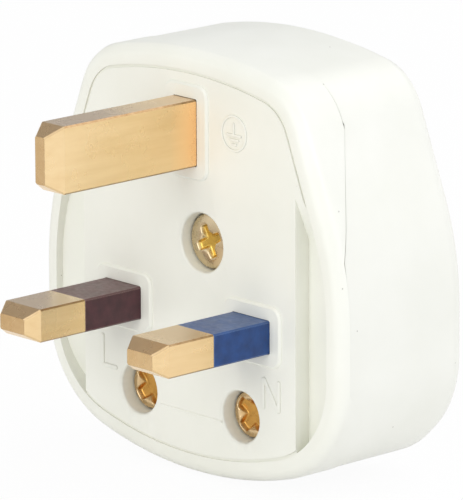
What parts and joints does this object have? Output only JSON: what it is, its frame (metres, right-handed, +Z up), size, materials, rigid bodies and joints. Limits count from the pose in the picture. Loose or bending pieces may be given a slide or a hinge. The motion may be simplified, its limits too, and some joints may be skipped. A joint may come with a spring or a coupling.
{
  "type": "three pin mains plug",
  "caption": "Rewirable mains plug with flat brass pins, a sleeved live and neutral, a fuse, a screwed rear cover and a cord grip behind a bottom cord entry.",
  "frame": {"origin": "on the pin face, below the earth pin and midway between the two lower pins", "axes": "+Y into the body, with the pins pointing to -Y; +Z up to the earth pin, with the cord entry at -Z; +X to the neutral pin"},
  "size_m": [0.0518, 0.0441, 0.0513],
  "materials": {
    "housing_white": "satin moulded",
    "pin_brass": "fine brushed, lightly worn",
    "sleeve_brown": "satin moulded",
    "sleeve_blue": "satin moulded",
    "screw_brass": "bright turned",
    "terminal_screw_brass": "bright turned",
    "clip_bronze": "spring strip",
    "fuse_ceramic": "plain ceramic",
    "fuse_cap_metal": "plated",
    "washer_fibre": "pressed fibre",
    "grip_bar_plastic": "satin moulded",
    "nut_steel": "zinc plated"
  },
  "bodies": {
    "root": {"base": "housing_white", "rear_cover": "housing_white", "earth_pin": "pin_brass", "neutral_pin": "pin_brass", "live_pin": "pin_brass", "neutral_sleeve": "sleeve_blue", "live_sleeve": "sleeve_brown", "earth_terminal_screw": "terminal_screw_brass", "neutral_terminal_screw": "terminal_screw_brass", "live_terminal": "terminal_screw_brass", "live_terminal_screw": "terminal_screw_brass", "lower_fuse_clip": "clip_bronze", "upper_fuse_clip": "clip_bronze", "fuse_tube": "fuse_ceramic", "lower_fuse_cap": "fuse_cap_metal", "upper_fuse_cap": "fuse_cap_metal", "cover_screw": "screw_brass", "cover_screw_washer": "washer_fibre", "cover_screw_insert": "terminal_screw_brass", "cord_grip_bar": "grip_bar_plastic", "left_grip_screw": "screw_brass", "right_grip_screw": "screw_brass", "left_grip_nut": "nut_steel", "right_grip_nut": "nut_steel"}
  },
  "joints": []
}
